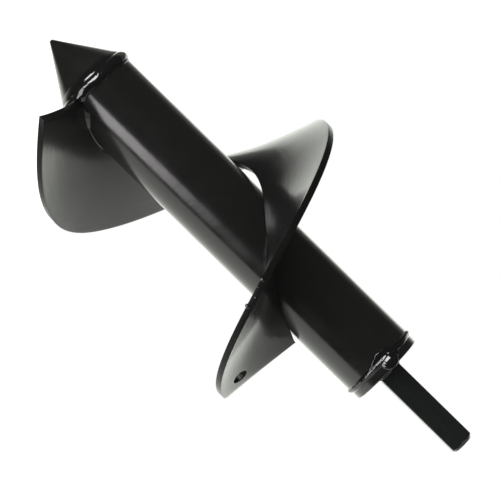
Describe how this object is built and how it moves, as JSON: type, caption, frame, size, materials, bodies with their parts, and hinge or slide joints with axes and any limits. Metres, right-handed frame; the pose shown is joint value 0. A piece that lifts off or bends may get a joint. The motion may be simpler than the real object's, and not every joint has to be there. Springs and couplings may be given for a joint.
{
  "type": "soil auger",
  "caption": "Black welded steel auger for a power drill: conical nose, tube shaft, right-hand helical flight with a hang hole, end plug and hexagonal drive shank.",
  "frame": {"origin": "blunt tip of the nose cone, on the tube's axis", "axes": "+Z along the tube's axis from the nose to the hexagonal shank; +X is the side that the flight's trailing edge and its hang hole are on"},
  "size_m": [0.1019, 0.1012, 0.2193],
  "materials": {
    "gloss_black_paint": "gloss black spray paint with faint orange peel, over formed steel",
    "satin_black_paint": "thinner, less glossy black paint over drawn hexagon bar",
    "painted_weld": "high gloss black paint pooled over lumpy arc weld beads"
  },
  "bodies": {
    "root": {"nose_cone": "gloss_black_paint", "shaft_tube": "gloss_black_paint", "flight": "gloss_black_paint", "end_plug": "gloss_black_paint", "hex_shank": "satin_black_paint", "nose_weld": "painted_weld", "plug_weld": "painted_weld", "plug_weld_stop": "painted_weld", "shank_weld": "painted_weld", "flight_weld_lead": "painted_weld", "flight_weld_back": "painted_weld", "flight_weld_front": "painted_weld"}
  },
  "joints": []
}
